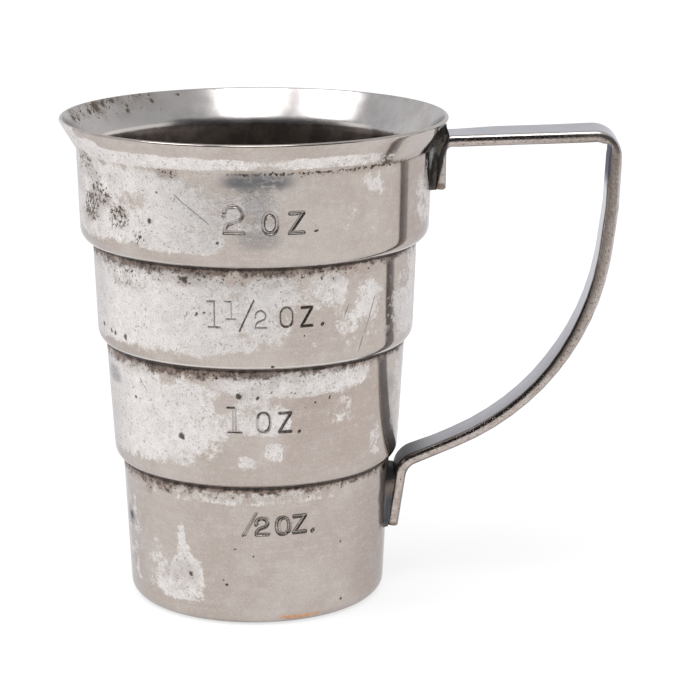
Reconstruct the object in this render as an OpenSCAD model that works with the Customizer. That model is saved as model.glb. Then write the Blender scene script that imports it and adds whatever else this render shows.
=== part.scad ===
// Stepped cocktail jigger: a cup of drawn sheet metal with four measures, one above the other, and
// a flat strap bent to a finger loop, soldered to the cup's wall at both feet.
// Millimetres. Z is up, the cup stands on z = 0 around the Z axis, the handle reaches along +X.

/* [Cup] */
// Thickness of the cup's sheet metal
wall_t = 1; // [0.7:0.1:1.3]
// Diameter of the first measure at the base, to the sharp corner
first_foot_d = 32.8; // [31:0.1:34.4]
// Diameter of the first measure under its step
first_top_d = 34.5; // [33:0.1:37]
// Height of the first measure
first_h = 18.3; // [16:0.1:20]
// Width of the first step, to the sharp corner of the second measure
first_ledge = 0.95; // [0.85:0.05:1.5]
// Widening of the second measure's diameter from its step to its top
second_spread = 1.9; // [0.5:0.1:2.5]
// Height of the second measure
second_h = 15.5; // [13:0.1:18]
// Width of the second step, to the sharp corner of the third measure
second_ledge = 0.95; // [0.85:0.05:1.5]
// Widening of the third measure's diameter from its step to its top
third_spread = 1; // [0.5:0.1:2.5]
// Height of the third measure
third_h = 12.9; // [11:0.1:15]
// Width of the third step, to the sharp corner of the fourth measure
third_ledge = 1.5; // [0.85:0.05:2]
// Widening of the fourth measure's diameter from its step to the flare
fourth_spread = 0.7; // [0.2:0.1:1.5]
// Height of the fourth measure's wall
fourth_h = 11.8; // [10:0.1:14]
// Overhang of the lip's outer edge beyond the fourth measure
flare_w = 2.15; // [1.6:0.05:2.6]
// Height of the flared lip
flare_h = 3.6; // [3:0.1:4.5]
// Radius of the base corner and of the corner of each step
step_r = 1.7; // [1.4:0.1:2]
// Radius in the crease below each step
crease_r = 0.3; // [0.2:0.05:0.5]
// Climb of the first two steps' undersides, in degrees
lower_step_climb = 30; // [20:1:40]
// Climb of the third step's underside, in degrees
third_step_climb = 14; // [8:1:30]

/* [Handle] */
// Width of the strap
strap_w = 6; // [5:0.1:7]
// Thickness of the strap
strap_t = 1.25; // [1:0.05:1.5]
// From the cup's axis to the outside of the grip
grip_reach = 46.1; // [44:0.1:50]
// From the lip's outer edge down to the bar's top, at the grip
bar_drop = 1.6; // [1.2:0.1:2.5]
// Fall of the bar from the grip to the cup, in degrees
bar_fall = 1.8; // [0:0.1:3]
// Outer radius of the corner between the bar and the grip
grip_corner_r = 2.4; // [2:0.1:3.5]
// Outer radius of the bend over the upper foot
upper_bend_r = 2; // [1.7:0.1:2.4]
// From the bar's top down to the end of the upper foot
upper_foot_h = 6.7; // [6:0.1:8]
// From the lip's outer edge down to the middle of the grip's curve
grip_drop = 11.5; // [11:0.1:12.5]
// Lean of the lower grip from the vertical, in degrees
grip_lean = 9.3; // [8:0.1:10.5]
// Radius of the grip's curve
grip_r = 70; // [50:1:75]
// Climb of the sweep where it leaves the lower foot, in degrees
sweep_climb = 23; // [21:0.5:26]
// Radius of the sweep below the grip
sweep_r = 32; // [24:1:33]
// From the first step down to the bend over the lower foot
lower_bend_drop = 1.5; // [1.3:0.1:2.5]
// Inner radius of the bend over the lower foot
lower_bend_r = 2.2; // [1.5:0.1:3]
// Angle between the lower foot and the wall, in degrees
lower_foot_splay = 5.8; // [4:0.1:8]
// From the bend down to the end of the lower foot
lower_foot_h = 8.1; // [6.5:0.1:9]

/* [Solder] */
// Solder between the wall and the upper foot
upper_film = 0.5; // [0.3:0.05:0.8]
// Solder between the wall and the end of the lower foot
lower_film = 0.1; // [0.05:0.05:0.4]
// Solder run out beside each edge of a foot
solder_run = 1.5; // [1:0.1:2]
// Solder left clear below the bend of the lower foot
lower_solder_drop = 1.2; // [1:0.1:2]

/* [Finish] */
// Rounding of the lip's edges and of the strap's ends
edge_r = 0.3; // [0.1:0.05:0.35]

/* [Hidden] */

// Largest distance between a round stretch and the straight pieces that draw it
chord_gap = 0.02;
// Tightest inside radius of a bent sheet
least_r = 0.2;

// Diameters of the upper three measures and of the lip, each from the one below
second_foot_d = first_top_d + 2 * first_ledge;
second_top_d = second_foot_d + second_spread;
third_foot_d = second_top_d + 2 * second_ledge;
third_top_d = third_foot_d + third_spread;
fourth_foot_d = third_top_d + 2 * third_ledge;
fourth_top_d = fourth_foot_d + fourth_spread;
lip_d = fourth_top_d + 2 * flare_w;

// Heights of the three steps, of the flare and of the lip's outer edge
first_step_z = first_h;
second_step_z = first_step_z + second_h;
third_step_z = second_step_z + third_h;
flare_z = third_step_z + fourth_h;
lip_z = flare_z + flare_h;

// Plane geometry on [r, z] and [x, z] points
function unit(v) = v / norm(v);
function left_of(v) = [-v[1], v[0]];
function heading(angle) = [cos(angle), sin(angle)];
function arriving(path, i) = let (k = max(i, 1)) unit(path[k] - path[k - 1]);
function leaving(path, i) = let (k = min(i, len(path) - 2)) unit(path[k + 1] - path[k]);
function meet(p, u, q, v) = p + u * cross(q - p, v) / cross(u, v);
function reversed(list) = [for (i = [len(list) - 1 : -1 : 0]) list[i]];

// A path moved to its left by d, corner by corner, and the radii that its corners then have
function moved_left(path, d) = [
    for (i = [0 : len(path) - 1])
        let (m = left_of(arriving(path, i)), n = left_of(leaving(path, i)))
            path[i] + (m + n) * d / (1 + m * n)
];
function moved_radii(path, radii, d) = [
    for (i = [0 : len(path) - 1])
        let (turn = cross(arriving(path, i), leaving(path, i)))
            turn > 0 ? max(radii[i] - d, least_r) : turn < 0 ? radii[i] + d : radii[i]
];

// Radii of a path's corners, made smaller where two rounded corners would meet on a side
function reach(path, radii, i) =
    let (u = arriving(path, i), v = leaving(path, i))
        u == v ? radii[i] : radii[i] * tan(acos(u * v) / 2);
function room(path, radii, i) =
    norm(path[i + 1] - path[i]) / max(reach(path, radii, i) + reach(path, radii, i + 1), least_r);
function fitted(path, radii) = let (last = len(path) - 1) [
    for (i = [0 : last])
        radii[i] * min(1, room(path, radii, max(i - 1, 0)), room(path, radii, min(i, last - 1)))
];

// The arc of radius r that rounds the corner at q between p and s
function rounded_corner(p, q, s, r) =
    let (
        u = unit(p - q),
        v = unit(s - q),
        half = acos(u * v) / 2,
        from = q + u * r / tan(half),
        centre = q + unit(u + v) * r / sin(half),
        start = atan2(from[1] - centre[1], from[0] - centre[0]),
        sweep = (180 - 2 * half) * sign(cross(-u, v)),
        pieces = max(3, ceil(abs(sweep) / (2 * acos(1 - chord_gap / r))))
    )
    [for (k = [0 : pieces]) centre + r * heading(start + sweep * k / pieces)];
function rounded(points, radii) = let (count = len(points)) [
    for (i = [0 : count - 1])
        each radii[i] == 0
            ? [points[i]]
            : rounded_corner(points[(i + count - 1) % count], points[i], points[(i + 1) % count], radii[i])
];

// Outline of a sheet of thickness t that lies along the left of a path
module sheet(path, radii, t) {
    polygon(rounded(
        concat(path, reversed(moved_left(path, t))),
        concat(radii, reversed(moved_radii(path, radii, t)))
    ));
}

// Outside of the cup as [r, z], from the centre of the base to the lip
function crease(top_d, z) = [top_d / 2, z];
function step_corner(below_d, foot_d, spread, z, h, climb) =
    meet(crease(below_d, z), heading(climb), [foot_d / 2, z], [spread / 2, h]);
cup_path = [
    [0, 0],
    [first_foot_d / 2, 0],
    crease(first_top_d, first_step_z),
    step_corner(first_top_d, second_foot_d, second_spread, first_step_z, second_h, lower_step_climb),
    crease(second_top_d, second_step_z),
    step_corner(second_top_d, third_foot_d, third_spread, second_step_z, third_h, lower_step_climb),
    crease(third_top_d, third_step_z),
    step_corner(third_top_d, fourth_foot_d, fourth_spread, third_step_z, fourth_h, third_step_climb),
    [fourth_top_d / 2, flare_z],
    [lip_d / 2, lip_z]
];
cup_radii = fitted(
    cup_path,
    [0, step_r, crease_r, step_r, crease_r, step_r, crease_r, step_r, crease_r, edge_r]
);

// Lean of the first measure's wall from the vertical, and its radius at height z
first_wall_lean = atan((first_top_d - first_foot_d) / 2 / first_h);
function first_wall_r(z) = first_foot_d / 2 + z * tan(first_wall_lean);

// Outer face of the strap as [x, z], from the lower foot round the loop to the upper foot
lower_bend_z = first_step_z - lower_bend_drop;
lower_end_z = lower_bend_z - lower_foot_h;
lower_foot_lean = first_wall_lean + lower_foot_splay;
lower_end = [first_wall_r(lower_end_z) + lower_film + strap_t / cos(lower_foot_lean), lower_end_z];
lower_bend = lower_end + lower_foot_h * [tan(lower_foot_lean), 1];
grip_bend = [grip_reach, lip_z - grip_drop];
sweep_bend = meet(lower_bend, heading(sweep_climb), grip_bend, heading(90 - grip_lean));
grip_corner = [grip_reach, lip_z - bar_drop];
upper_foot_x = fourth_top_d / 2 + upper_film;
upper_bend = meet(grip_corner, heading(bar_fall), [upper_foot_x, 0], heading(90));
upper_end = upper_bend - [0, upper_foot_h];
strap_path = [lower_end, lower_bend, sweep_bend, grip_bend, grip_corner, upper_bend, upper_end];
strap_radii = fitted(
    strap_path,
    [edge_r, lower_bend_r, sweep_r, grip_r, grip_corner_r, upper_bend_r, edge_r]
);

// The cup: one sheet turned round the axis
module cup() {
    color("silver")
    rotate_extrude($fn = 128)
    sheet(cup_path, cup_radii, wall_t);
}

// Everything inside the cup's outer surface, up to the lip
module cup_envelope() {
    rotate_extrude($fn = 128)
    polygon(rounded(concat(cup_path, [[0, lip_z]]), concat(cup_radii, [0])));
}

// An [x, z] outline made y_width wide, centred on the handle's plane
module across(y_width) {
    rotate([90, 0, 0])
    linear_extrude(y_width, center = true)
    children();
}

// The handle: one strap on its edge outline
module handle() {
    color("lightgray")
    across(strap_w)
    sheet(strap_path, strap_radii, strap_t);
}

// Solder between the wall and a foot: a side outline, narrowing from the wall to the foot's edge,
// with the cup and the strap taken out of it
module solder(side, wall_x, foot_x) {
    wide = strap_w / 2 + solder_run;
    narrow = strap_w / 2;
    difference() {
        intersection() {
            across(2 * wide) polygon(side);
            linear_extrude(lip_z)
            polygon([[0, -wide], [wall_x, -wide], [foot_x, -narrow], [foot_x, narrow], [wall_x, wide], [0, wide]]);
        }
        cup_envelope();
        handle();
    }
}

// Solder of the upper foot: from the foot's end up to the bar, out to the middle of the strap
module upper_solder() {
    inside_x = fourth_foot_d / 2 - solder_run;
    middle_x = upper_foot_x + strap_t / 2;
    top_z = upper_bend[1] - strap_t / 2;
    color("dimgray")
    solder(
        [[inside_x, upper_end[1]], [middle_x, upper_end[1]], [middle_x, top_z], [inside_x, top_z]],
        inside_x + solder_run / 2,
        middle_x
    );
}

// Solder of the lower foot: along the leaning foot, out to the middle of the strap
module lower_solder() {
    inside_x = first_foot_d / 2 - solder_run;
    low = lower_end - [strap_t / 2, 0];
    high = lower_bend - lower_solder_drop * [tan(lower_foot_lean), 1] - [strap_t / 2, 0];
    color("gray")
    solder(
        [[inside_x, low[1]], low, high, [inside_x, high[1]]],
        inside_x + solder_run / 2,
        high[0]
    );
}

cup();
handle();
upper_solder();
lower_solder();
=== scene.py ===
"""A stepped jigger of worn silver plate with a soldered strap handle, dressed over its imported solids."""

import math
from functools import reduce
from itertools import accumulate

import bpy
import numpy as np
from mathutils import Matrix, Vector


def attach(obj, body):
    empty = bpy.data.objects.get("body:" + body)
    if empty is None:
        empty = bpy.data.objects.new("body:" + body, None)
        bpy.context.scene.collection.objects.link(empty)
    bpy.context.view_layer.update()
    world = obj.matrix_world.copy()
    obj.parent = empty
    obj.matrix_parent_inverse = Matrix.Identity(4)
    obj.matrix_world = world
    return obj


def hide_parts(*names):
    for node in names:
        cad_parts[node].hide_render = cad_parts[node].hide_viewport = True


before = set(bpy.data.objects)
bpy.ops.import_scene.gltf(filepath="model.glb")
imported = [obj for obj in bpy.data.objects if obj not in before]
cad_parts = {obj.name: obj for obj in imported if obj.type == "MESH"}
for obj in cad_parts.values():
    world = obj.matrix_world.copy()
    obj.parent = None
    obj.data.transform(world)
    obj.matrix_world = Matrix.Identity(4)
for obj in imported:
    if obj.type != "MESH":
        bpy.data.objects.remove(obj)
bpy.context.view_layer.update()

# Lengths are millimetres and angles degrees, as on the bench; Blender gets metres
MM = 0.001

# The cup's sheet, and its four measures from the base up:
# foot diameter, top diameter, height, climb of the step under it
WALL = 1.0
MEASURES = (
    (32.8, 34.5, 18.3, 0),
    (36.4, 38.3, 15.5, 30),
    (40.2, 41.2, 12.9, 30),
    (44.2, 44.9, 11.8, 14),
)
STEP_ROUND = 1.7
CREASE_ROUND = 0.3
LEAST_ROUND = 0.2
*STEP_HEIGHTS, FLARE_Z = accumulate(measure[2] for measure in MEASURES)
# How strong the painted reflection of the white floor is just over each step, along each bulge's lower edge
STEP_FLOOR_REFLECTION = (0.1, 0.7, 0.8)

# The flared lip: its edge is thinner than the sheet, and it bends more softly inside
LIP_D = 49.2
FLARE_H = 3.6
LIP_Z = FLARE_Z + FLARE_H
LIP_T = 0.5
LIP_ROUND = 0.24
INNER_FLARE_BEND = 3.6
INNER_FLARE_DROP = 0.75

# The strap: its section, how its cut ends are eased, and the corners (x, z, bend) of its outer face
# from the lower foot to the upper
STRAP_W = 6.0
STRAP_T = 1.25
STRAP_PLATING = 0.12
STRAP_EDGE_PLATING = 0.05
STRAP_OVAL = 0.45
STRAP_END_ROUND = 0.3
STRAP_CORNERS = (
    (18.17, 8.7, 0),
    (19.37, 16.8, 2.2),
    (42.15, 26.47, 32),
    (46.1, 50.6, 70),
    (46.1, 60.5, 3.2),
    (22.95, 59.77, 2),
    (22.95, 53.07, 0),
)

# The photograph's viewpoint: its place, its turns and its lens
CAMERA_AT = (8.49, -313.57, 109.3)
CAMERA_YAW = 0.664
CAMERA_PITCH = 13.911
CAMERA_ROLL = 0.075
CAMERA_LENS = 128.875
CAMERA_SENSOR = 36.0

# How finely the cup's sheet is drawn
COLUMNS = 288
OUTER_SPACING = 0.65
INNER_SPACING = 1.6
BEND_TURN = 13.0

# The measure marks lie within this angle (in radians) of the front and above this height.
# Cells near a groove, by a margin and so many of its half widths, are cut into so many each way
MARK_ANGLE = 0.8
MARK_LOW = 10
MARK_MARGIN = 0.36
MARK_SPREAD = 1.6
MARK_CUTS = 7

# The unseen back sets in between these degrees from the front
BACK_FROM = 88
BACK_TO = 120


# Plane geometry

def unit(v):
    return v / np.linalg.norm(v)


def left_of(v):
    return np.array([-v[1], v[0]])


def cross(u, v):
    return u[0] * v[1] - u[1] * v[0]


def heading(angle):
    return np.array([math.cos(angle), math.sin(angle)])


def meet(p, u, q, v):
    """Where the line through p along u meets the line through q along v."""
    return p + u * cross(q - p, v) / cross(u, v)


def straight(p, q, spacing):
    """Points strictly between p and q, at most spacing apart."""
    count = max(1, math.ceil(np.linalg.norm(q - p) / spacing))
    return [p + (q - p) * k / count for k in range(1, count)]


def moved_left(corners, distance):
    """Corners (across, up, bend) of the same outline moved to its left, with the bends it then has."""
    points = np.array([c[:2] for c in corners], float)
    moved = []
    last = len(corners) - 1
    for i, corner in enumerate(corners):
        arriving = unit(points[max(i, 1)] - points[max(i, 1) - 1])
        leaving = unit(points[min(i, last - 1) + 1] - points[min(i, last - 1)])
        m = left_of(arriving)
        n = left_of(leaving)
        turn = cross(arriving, leaving)
        bend = corner[2]
        if turn > 1e-9 and bend:
            bend = max(bend - distance, LEAST_ROUND)
        elif turn < -1e-9 and bend:
            bend = bend + distance
        moved.append((*(points[i] + (m + n) * distance / (1 + m @ n)), bend))
    return moved


def outline(corners, spacing, turn=BEND_TURN):
    """Points along an open outline of (across, up, bend) corners."""
    corners = np.array(corners, float)
    points = [corners[0, :2]]
    for before, here, after in zip(corners, corners[1:], corners[2:]):
        corner = here[:2]
        bend = here[2]
        back = unit(before[:2] - corner)
        on = unit(after[:2] - corner)
        half = math.acos(np.clip(back @ on, -1, 1)) / 2
        arc = [corner]
        if bend:
            start = corner + back * bend / math.tan(half)
            centre = corner + unit(back + on) * bend / math.sin(half)
            first = math.atan2(*(start - centre)[::-1])
            sweep = (math.pi - 2 * half) * np.sign(cross(-back, on))
            pieces = max(2, math.ceil(math.degrees(abs(sweep)) / turn))
            angles = first + np.linspace(0, sweep, pieces + 1)
            arc = [centre + bend * heading(a) for a in angles]
        points += straight(points[-1], arc[0], spacing) + arc
    points += straight(points[-1], corners[-1, :2], spacing) + [corners[-1, :2]]
    return np.array(points)


def smooth(value, low, high):
    """0 at low, 1 at high, with an easy curve between; low may be the larger."""
    t = np.clip((value - low) / (high - low), 0, 1)
    return t * t * (3 - 2 * t)


def ridge(value, middle, spread):
    """1 at the middle, falling off to both sides."""
    return np.exp(-((value - middle) / spread) ** 2)


# The cup's section

def cup_corners():
    """Outside of the cup as (radius, height, bend), from the middle of its base to the lip."""
    corners = [(0, 0, 0), (MEASURES[0][0] / 2, 0, STEP_ROUND)]
    for below, here, height in zip(MEASURES, MEASURES[1:], STEP_HEIGHTS):
        foot_d, top_d, tall, climb = here
        crease = np.array([below[1] / 2, height])
        foot = np.array([foot_d / 2, height])
        rise = np.array([(top_d - foot_d) / 2, tall])
        corners.append((*crease, CREASE_ROUND))
        corners.append((*meet(crease, heading(math.radians(climb)), foot, rise), STEP_ROUND))
    corners.append((MEASURES[-1][1] / 2, FLARE_Z, CREASE_ROUND))
    corners.append((LIP_D / 2, LIP_Z, LIP_ROUND))
    return corners


OUTSIDE = cup_corners()
INSIDE = moved_left(OUTSIDE, WALL)
INSIDE[-2] = (INSIDE[-2][0], INSIDE[-2][1] - INNER_FLARE_DROP, INNER_FLARE_BEND)
INSIDE[-1] = moved_left(OUTSIDE, LIP_T)[-1]
LIP_TOP = (np.array(OUTSIDE[-1][:2]) + np.array(INSIDE[-1][:2])) / 2
OUTER_LINE = outline(OUTSIDE + [(*LIP_TOP, 0)], OUTER_SPACING)
INNER_LINE = outline([(*LIP_TOP, 0)] + INSIDE[::-1], INNER_SPACING)


def wall_radius(height):
    """Outer radius of the cup at a height above its base corner."""
    climb = OUTER_LINE[OUTER_LINE[:, 1] > 0.5 * STEP_ROUND]
    return np.interp(height, climb[:, 1], climb[:, 0])


def wall_point(degrees, height, inwards=0.0):
    """A place on the cup's outside, or inwards of it; 0 degrees is the front, the handle is at 90."""
    radius = wall_radius(height) - inwards
    angle = math.radians(degrees)
    return np.array([radius * math.sin(angle), -radius * math.cos(angle), height])


# The struck measure marks: strokes in a unit box

def curve(*points, count=10):
    """Points along the Bezier curve of three or four control points."""
    t = np.linspace(0, 1, count)[:, None]
    points = [np.array(p, float) for p in points]
    while len(points) > 1:
        points = [p * (1 - t) + q * t for p, q in zip(points, points[1:])]
    return points[0]


def bow(centre, across, up, start, end, power=2.0, count=18):
    """Points along an ellipse, or a squarer oval with a higher power."""
    angle = np.radians(np.linspace(start, end, count))
    c = np.cos(angle)
    s = np.sin(angle)
    return np.column_stack([
        centre[0] + across * np.sign(c) * abs(c) ** (2 / power),
        centre[1] + up * np.sign(s) * abs(s) ** (2 / power),
    ])


HEAD_OF_TWO = bow((0.5, 0.69), 0.44, 0.29, 172, -38)
STROKES = {
    "two": (
        HEAD_OF_TWO,
        curve(HEAD_OF_TWO[-1], (0.6, 0.38), (0.05, 0.42), (0.08, 0.02)),
        ((0.08, 0.02), (0.98, 0.02)),
        ((0.05, 0.62), (0.07, 0.61)),
    ),
    "one": (
        ((0.02, 0.97), (0.6, 0.97)),
        ((0.58, 0.97), (0.58, 0.02)),
        ((0.1, 0.02), (1.0, 0.02)),
    ),
    "flag and base": (
        ((0.02, 0.97), (0.5, 0.97)),
        ((0.05, 0.02), (0.95, 0.02)),
    ),
    "stem": (
        ((0.45, 0.9), (0.45, 0.1)),
        ((0.7, 0.95), (0.7, 0.1)),
    ),
    "slash": (((0, 0), (1, 1)),),
    "oh": (bow((0.5, 0.5), 0.5, 0.5, 0, 360, power=2.5, count=30),),
    "zed": (
        ((0.08, 1), (0.95, 1)),
        ((0.95, 1), (0.05, 0)),
        ((0.05, 0), (0.95, 0)),
    ),
    "stop": (((0.2, 0.2), (0.8, 0.8)),),
    "hood": (bow((0.5, 0.5), 0.5, 0.5, 160, -80, power=2.5),),
    "back": (bow((0.5, 0.69), 0.44, 0.29, 80, -38),),
}

# Each mark: strokes, left and right along the wall from the front, foot and head heights,
# half width of the groove, depth, soil on its floor, soil on its sides
MARKS = (
    ("two", -3.22, -0.72, 51.4, 54.75, 0.22, 0.14, 0.1, 0.62),
    ("back", -3.1, -0.75, 51.4, 54.75, 0.08, 0.16, 0.9, 0.4),
    ("oh", 1.58, 3.22, 51.35, 53.8, 0.22, 0.15, 0.1, 0.6),
    ("oh", 1.76, 3.04, 51.55, 53.6, 0.09, 0.17, 0.95, 0.4),
    ("zed", 4.64, 6.55, 51.35, 53.75, 0.2, 0.16, 0.2, 0.85),
    ("stop", 7.75, 8.3, 51.42, 51.55, 0.12, 0.05, 0.5, 0.4),
    ("one", -5.4, -3.8, 39.4, 42.75, 0.105, 0.09, 0.75, 0.3),
    ("one", -3.1, -1.85, 40.5, 42.8, 0.09, 0.06, 0.55, 0.2),
    ("slash", -1.4, 0.35, 39.1, 42.85, 0.11, 0.1, 0.95, 0.4),
    ("two", 0.42, 1.85, 39.42, 41.6, 0.105, 0.09, 0.75, 0.3),
    ("oh", 3.52, 5.05, 39.5, 41.9, 0.105, 0.1, 0.85, 0.4),
    ("zed", 6.05, 7.58, 39.45, 41.75, 0.15, 0.13, 1, 0.8),
    ("stop", 8.75, 8.98, 39.4, 39.58, 0.17, 0.14, 1, 1),
    ("flag and base", -3.15, -1.15, 25.85, 29.2, 0.09, 0.1, 0.55, 0.3),
    ("stem", -3, -1.6, 25.85, 29.05, 0.11, 0.06, 0.3, 0.4),
    ("oh", 0.6, 2.2, 26, 28.42, 0.17, 0.1, 0.3, 0.35),
    ("hood", 0.62, 2.12, 26.05, 28.4, 0.12, 0.14, 0.95, 0.6),
    ("zed", 3.2, 4.85, 25.9, 28.3, 0.17, 0.14, 0.85, 0.9),
    ("stop", 5.7, 5.95, 25.7, 25.9, 0.14, 0.16, 0.9, 0.8),
    ("slash", -1.35, 0.35, 12.15, 15.05, 0.16, 0.1, 0.3, 0.75),
    ("slash", -1.05, 0.1, 12.15, 14.4, 0.12, 0.06, 0.2, 0.5),
    ("two", 0.2, 1.8, 12.2, 14.4, 0.21, 0.16, 0.5, 1),
    ("two", 0.5, 2.05, 12.3, 14.6, 0.1, 0.08, 0.35, 0.5),
    ("oh", 2.85, 4.4, 12.2, 14.4, 0.21, 0.17, 0.5, 1),
    ("oh", 3.3, 4.75, 12.3, 14.3, 0.1, 0.08, 0.4, 0.4),
    ("zed", 4.95, 6.65, 12.3, 14.4, 0.24, 0.18, 0.45, 1),
    ("stop", 7.4, 7.72, 12.15, 12.42, 0.21, 0.2, 1, 1),
)


def struck_strokes():
    """Every stroke as points (along the wall, height), with the style of its mark."""
    for shape, left, right, foot, head, *style in MARKS:
        for stroke in STROKES[shape]:
            yield np.array(stroke) * (right - left, head - foot) + (left, foot), style


def nearest(points, stroke):
    """Distance from each point to a stroke."""
    best = np.full(len(points), np.inf)
    for a, b in zip(stroke, stroke[1:]):
        run = b - a
        t = np.clip((points - a) @ run / max(run @ run, 1e-9), 0, 1)
        best = np.minimum(best, np.hypot(*(points - a - t[:, None] * run).T))
    return best


def press_marks(points):
    """How deep the marks are pressed at points (along the wall, height), and the soil left in them."""
    depth = np.zeros(len(points))
    soil = np.zeros(len(points))
    for stroke, (half, deep, floor_soil, side_soil) in struck_strokes():
        close = nearest(points, stroke) / half
        burr = 0.12 * deep * ridge(close, 1.35, 0.3)
        depth = np.maximum(depth, deep * smooth(close, 1.1, 0.45) - burr)
        on_floor = floor_soil * smooth(close, 1.0, 0.5)
        on_sides = side_soil * ridge(close, 0.78, 0.3)
        soil = np.maximum.reduce([soil, on_floor, on_sides])
    return depth, soil


# Wear on the cup, with painted shade, reflections and highlights: patches as from and to degrees, from and to
# heights, and how much. First the frosted plate that survives, then what is rubbed off it and what lies on it

SURVIVING_PLATE = (
    (-130, -12, 48.9, 58.6, 1), (-40, -6, 48.5, 51.5, 0.8), (-14, 10, 49.8, 57, 0.52),
    (9, 52, 49.5, 58, 0.24), (36, 46, 54, 58, 0.5), (24, 36, 50.8, 54.4, 0.42),
    (-150, 10, 58.8, 60.5, 0.95), (4, 50, 58.8, 60.4, 0.66), (-110, -63, 59.2, 64, 1),
    (-66, -50, 59, 61.3, 0.95), (63, 92, 49.4, 57.6, 0.56), (-130, 0, 35.7, 46.3, 1),
    (-40, 4, 35.7, 38.6, 0.72), (-4, 18, 37, 46.2, 0.74), (16, 36, 41.2, 45.9, 0.64),
    (18, 54, 36, 42, 0.34), (36, 52, 38.6, 44.4, 0.56), (28, 41, 37.6, 41.4, 0.52),
    (50, 60, 36, 45.5, 0.38), (57, 92, 35.2, 46, 0.8), (-130, -11, 20.7, 33.5, 1),
    (-16, 50, 30.2, 33.5, 0.84), (-12, 14, 25, 30.6, 0.56), (28, 42, 25.6, 30.2, 0.4),
    (4, 12, 21.8, 24.6, 0.62), (-6, 2, 20.9, 22.9, 0.6), (51, 59, 20.2, 25.6, 0.5),
    (64, 100, 21, 33, 0.5), (0, 16, 25.2, 29.2, 0.66), (-48, -22, 2.4, 5.6, 0.72),
    (-40, -22, 3.4, 8.8, 0.8), (-37, -27, 7, 10.6, 0.66), (-35, -30.5, 9.4, 13.2, 0.72),
    (-62, 46, 15.8, 17.9, 0.45), (-84, -55, 2, 17, 0.42), (-58, -36, 2.6, 10, 0.42),
)
BACK_PLATE = (
    (-180, 180, 49.2, 58.4, 1), (-180, 180, 58.8, 60.6, 1), (-180, 180, 35.9, 46.2, 1),
    (-180, 180, 21.2, 33.4, 1), (-180, 180, 5, 16.8, 0.9),
)
RUBBED = (
    (-46, -33, 53.2, 56, 0.6), (-38, -30, 29.6, 33, 0.35), (-14, -7, 28.4, 30.4, 0.4),
    (9, 19, 37.5, 42, 0.3), (60, 73, 41.5, 45.5, 0.4),
)
# Dull tarnish, with painted shade darkening the bare metal mostly on the handle's side
DULLED_AND_SHADED = (
    (46, 90, 0.5, 17.6, 1), (12, 56, 19.6, 30.6, 0.75), (46, 58, 20, 30, 0.7),
    (52, 90, 47.2, 58.4, 0.85), (-60, 40, 8, 15.6, 0.25),
)
PITTED = (
    (-73, -60, 56.6, 59.2, 0.85), (-66, -54, 54.6, 57.4, 0.6), (-69, -56, 50.6, 54.6, 1),
    (-62, -49, 52.8, 55.8, 0.95), (-51, -41, 50.6, 53.6, 0.95), (-42, -33, 48.9, 51.8, 0.55),
    (-78, -45, 49, 59.5, 0.35), (-30, -22, 57.6, 58.9, 0.85), (-6, 60, 57.9, 58.9, 0.9),
    (-58, -40, 42.8, 45.8, 0.7), (-26, -21, 44.3, 45.8, 0.9), (-80, 55, 44.4, 46.9, 0.55),
    (8, 36, 44.4, 46.4, 0.5), (-78, 52, 31.8, 33.9, 0.55), (-32, -26, 32.2, 33.8, 0.9),
    (-15, -9, 32.4, 33.8, 0.9), (-70, 40, 16.4, 18.4, 0.5), (-54, -48, 15.6, 18.2, 0.85),
    (-12, 40, 28.5, 33, 0.3), (-8, -3, 30, 31.2, 0.7), (-40, -24, 3, 8, 0.45),
)
# Painted reflections of dark surroundings, strongest in front where the camera's side is mirrored
DARK_REFLECTION_PATCHES = (
    (-8, 13, 56.4, 58.6, 1), (-2, 6, 52, 57, 0.35), (-4, 9, 49.4, 51.6, 0.45),
    (-22, -13, 45.4, 46.3, 0.8), (-76, -62, 29.4, 31.4, 0.6), (-76, -66, 10.2, 12.4, 0.8),
    (60, 70, 27.6, 30.4, 0.35), (-104, -60, 35, 46.4, 0.13), (-104, -58, 20.4, 33.6, 0.15),
)
INNER_PITTED = (
    (-128, -112, 60.9, 62.8, 1), (-112, -96, 60.4, 62.6, 0.8), (-146, -126, 61.2, 62.6, 0.75),
    (-150, -100, 59, 62.6, 0.5), (-178, -150, 61, 62.6, 0.4),
)
# Painted highlights along the inner crease under the flare
INNER_HIGHLIGHTS = ((-156, -112, 57.2, 59, 1), (138, 160, 57.2, 59, 1))

# Single dark spots: degrees, height, radius; the inner ones are inside the flare
SPOTS = (
    (-28, 24.8, 0.5), (-51, 28.6, 0.28), (-5, 30.5, 0.34), (2, 30.3, 0.24), (-68, 37, 0.45),
    (-61, 36.7, 0.35), (-58, 36.5, 0.3), (-51, 36.5, 0.42), (-19, 40.8, 0.26), (-16.2, 41.1, 0.18),
    (-37, 50, 0.28), (-10, 50.1, 0.26), (-33, 52.2, 0.34), (-60, 55, 0.4), (-23, 45.1, 0.45),
    (7.5, 34.4, 0.26), (-12, 5.5, 0.22), (-13, 6.1, 0.18), (40, 10, 0.22), (41, 2.2, 0.24),
    (-28.5, 6.4, 0.3), (-70, 11.4, 0.6), (30, 29.8, 0.2), (24, 29.3, 0.16), (-30, 55.8, 0.22),
    (18, 38.2, 0.18), (0, 9.3, 0.16), (-8, 10.2, 0.14),
)
INNER_SPOTS = (
    (-117.5, 61.6, 0.85), (-113, 61.3, 0.55), (-122, 61.85, 0.6), (-127, 61.95, 0.5), (-132, 60.5, 0.5),
    (-132.5, 61.1, 0.35), (-143, 61.3, 0.5), (-153, 61.75, 0.35), (-99, 61.2, 0.6), (-103, 60.9, 0.45),
    (158.9, 62.1, 0.3),
)
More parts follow.
